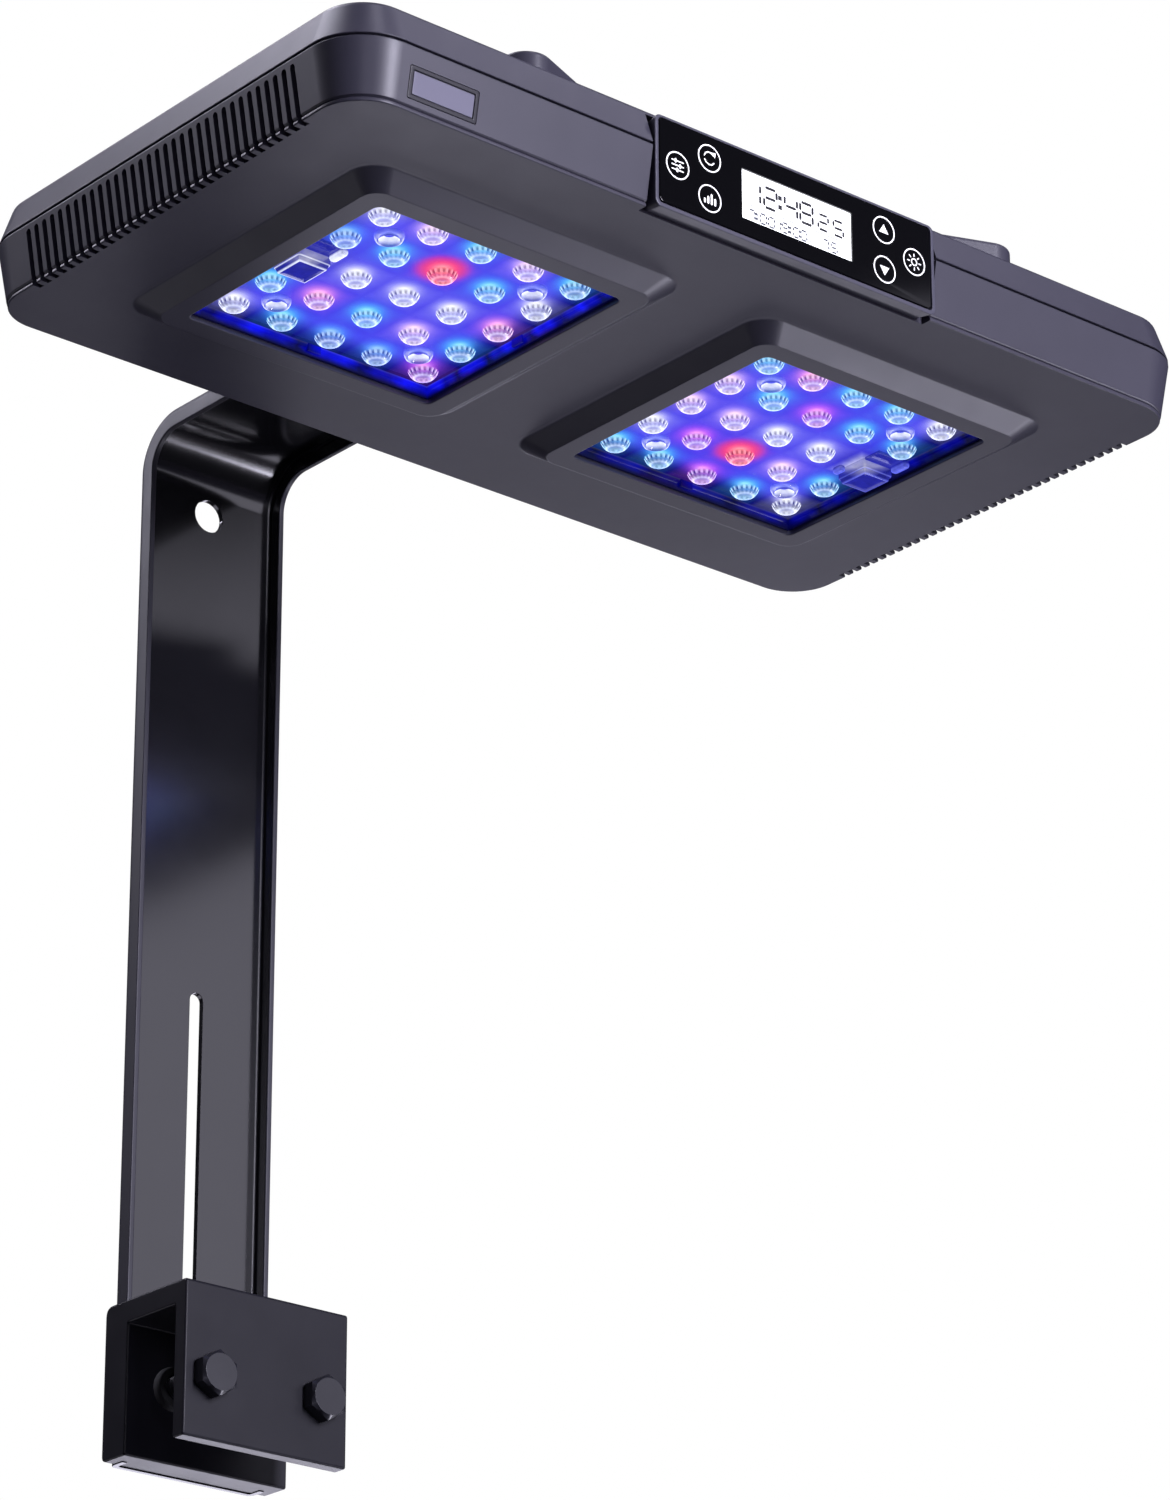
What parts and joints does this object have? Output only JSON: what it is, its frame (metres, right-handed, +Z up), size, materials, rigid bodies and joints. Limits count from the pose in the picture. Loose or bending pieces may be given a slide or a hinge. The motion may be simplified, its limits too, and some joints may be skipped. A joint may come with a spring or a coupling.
{
  "type": "led aquarium light",
  "caption": "Slim rectangular LED aquarium lamp with square lens windows and a touch display, on a bent channel arm that slides in a clamp for the rim of a tank.",
  "frame": {"origin": "centre of the clamp's seat, the downward face that rests on the tank's rim", "axes": "+X to the right along the lamp's front as seen from the display side, +Y from the display towards the arm, +Z up the arm"},
  "size_m": [0.34, 0.3069, 0.3656],
  "materials": {
    "housing": "satin dark grey plastic with a violet tint",
    "housing_trim": "satin lighter grey rim round the panel",
    "panel_black": "black-printed gloss glass with a clear display window",
    "display": "white backlit display",
    "board": "green circuit board",
    "spring": "gilt contact spring",
    "badge": "blank dark plate",
    "lens": "clear moulded optics tinted by blue light",
    "gasket": "soft black seal",
    "led_board": "white-coated aluminium board",
    "emitter": "light emitting package",
    "connector": "ivory plug",
    "steel": "bright steel fastener",
    "dark_steel": "black-oxide fastener",
    "heatsink": "extruded aluminium fins",
    "fan": "black moulded fan plastic",
    "component": "power parts on the driver board",
    "wire": "red and black lead insulation",
    "inlet": "black socket",
    "arm": "gloss black powder coat",
    "clamp": "satin black powder coat",
    "pad": "black non-slip pad",
    "knob": "black knurled plastic"
  },
  "bodies": {
    "clamp": {"clamp_body": "clamp"},
    "arm": {"arm": "arm"},
    "head": {"bottom_case": "housing", "top_cover": "housing", "panel_frame": "housing_trim", "panel_glass": "panel_black", "lcd_module": "display", "control_board": "board", "touch_springs": "spring", "name_badge": "badge", "lens_array_left": "lens", "lens_array_right": "lens", "lens_gasket_left": "gasket", "lens_gasket_right": "gasket", "led_board_left": "led_board", "led_board_right": "led_board", "led_emitters_left": "emitter", "led_emitters_right": "emitter", "led_connectors": "connector", "lens_screws": "steel", "heatsink_left": "heatsink", "heatsink_right": "heatsink", "heatsink_screws": "steel", "fan_frame_left": "fan", "fan_frame_right": "fan", "fan_screws": "dark_steel", "driver_board": "board", "driver_components": "component", "board_screws": "steel", "wiring_harness": "wire", "dc_inlet": "inlet", "case_screws": "dark_steel", "arm_spacer": "heatsink", "arm_nut_plate": "steel", "arm_screws": "dark_steel", "arm_washers": "steel"},
    "fan_left": {"fan_rotor_left": "fan"},
    "fan_right": {"fan_rotor_right": "fan"},
    "pad_left": {"clamp_pad_left": "pad"},
    "pad_right": {"clamp_pad_right": "pad"},
    "bolt_left": {"clamp_bolt_left": "dark_steel"},
    "bolt_right": {"clamp_bolt_right": "dark_steel"},
    "washer_upper": {"lock_washer_upper": "steel"},
    "washer_lower": {"lock_washer_lower": "steel"},
    "knob_upper": {"lock_knob_upper": "knob", "lock_stud_upper": "steel"},
    "knob_lower": {"lock_knob_lower": "knob", "lock_stud_lower": "steel"}
  },
  "joints": [
    {"name": "arm_height", "type": "slide", "parent": "clamp", "child": "arm", "axis": [0, 0, 1], "range_m": [-0.125, 0]},
    {"name": "head_reach", "type": "slide", "parent": "arm", "child": "head", "axis": [0, 1, 0], "range_m": [-0.015, 0.015]},
    {"name": "fan_left_spin", "type": "hinge", "parent": "head", "child": "fan_left", "pos_m": [-0.062, -0.1779, 0.3006], "axis": [0, 0, 1], "continuous": true},
    {"name": "fan_right_spin", "type": "hinge", "parent": "head", "child": "fan_right", "pos_m": [0.062, -0.1779, 0.3006], "axis": [0, 0, 1], "continuous": true},
    {"name": "bolt_left_feed", "type": "slide", "parent": "clamp", "child": "pad_left", "axis": [0, 1, 0], "range_m": [-0.012, 0]},
    {"name": "bolt_left_turn", "type": "hinge", "parent": "pad_left", "child": "bolt_left", "pos_m": [-0.0212, 0, -0.0222], "axis": [0, 1, 0], "range_deg": [-3461, 5]},
    {"name": "bolt_right_feed", "type": "slide", "parent": "clamp", "child": "pad_right", "axis": [0, 1, 0], "range_m": [-0.012, 0]},
    {"name": "bolt_right_turn", "type": "hinge", "parent": "pad_right", "child": "bolt_right", "pos_m": [0.0212, 0, -0.0222], "axis": [0, 1, 0], "range_deg": [-3461, 5]},
    {"name": "lock_upper_feed", "type": "slide", "parent": "clamp", "child": "washer_upper", "axis": [0, 1, 0], "range_m": [0, 0.002]},
    {"name": "lock_upper_turn", "type": "hinge", "parent": "washer_upper", "child": "knob_upper", "pos_m": [0, 0.03, -0.008], "axis": [0, 1, 0], "range_deg": [-5, 905]},
    {"name": "lock_lower_feed", "type": "slide", "parent": "clamp", "child": "washer_lower", "axis": [0, 1, 0], "range_m": [0, 0.002]},
    {"name": "lock_lower_turn", "type": "hinge", "parent": "washer_lower", "child": "knob_lower", "pos_m": [0, 0.03, -0.03], "axis": [0, 1, 0], "range_deg": [-5, 905]}
  ],
  "couplings": [
    {"joint": "bolt_left_turn", "follows": "bolt_left_feed", "rad_per_m": 5026.5},
    {"joint": "bolt_right_turn", "follows": "bolt_right_feed", "rad_per_m": 5026.5},
    {"joint": "lock_upper_turn", "follows": "lock_upper_feed", "rad_per_m": 7854},
    {"joint": "lock_lower_turn", "follows": "lock_lower_feed", "rad_per_m": 7854}
  ]
}
